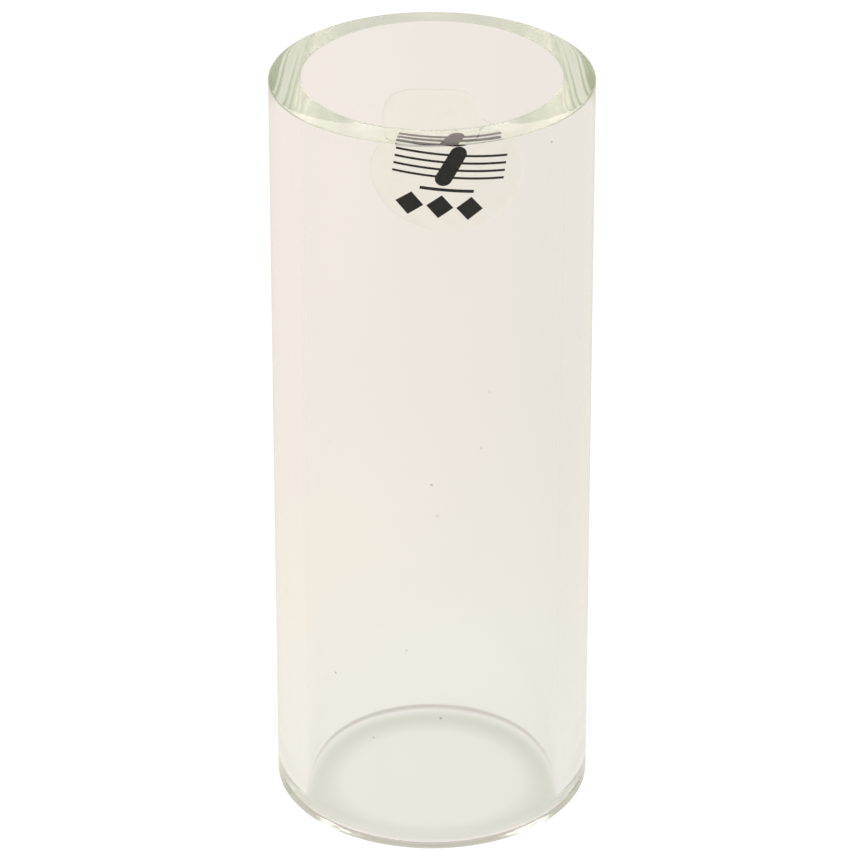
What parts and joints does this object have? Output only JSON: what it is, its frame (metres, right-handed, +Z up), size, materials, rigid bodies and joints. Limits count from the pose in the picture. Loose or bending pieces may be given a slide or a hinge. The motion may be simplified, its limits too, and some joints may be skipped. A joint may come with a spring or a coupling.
{
  "type": "guitar slide",
  "caption": "Clear glass guitar slide: an open-ended tube with polished rims, worn on a finger, with a small clear oval label inside its mouth.",
  "frame": {"origin": "centre of the lower rim, on the surface that the tube stands on", "axes": "+Z up along the bore, -Y towards the front, where the label is"},
  "size_m": [0.025, 0.025, 0.0649],
  "materials": {
    "glass": "drawn, fire-polished",
    "clear_film": "clear",
    "adhesive": "clear, tacky",
    "ink": "printed"
  },
  "bodies": {
    "root": {"glass_tube": "glass", "label_film": "clear_film", "label_adhesive": "adhesive", "print_emblem": "ink", "print_size_marks": "ink"}
  },
  "joints": []
}
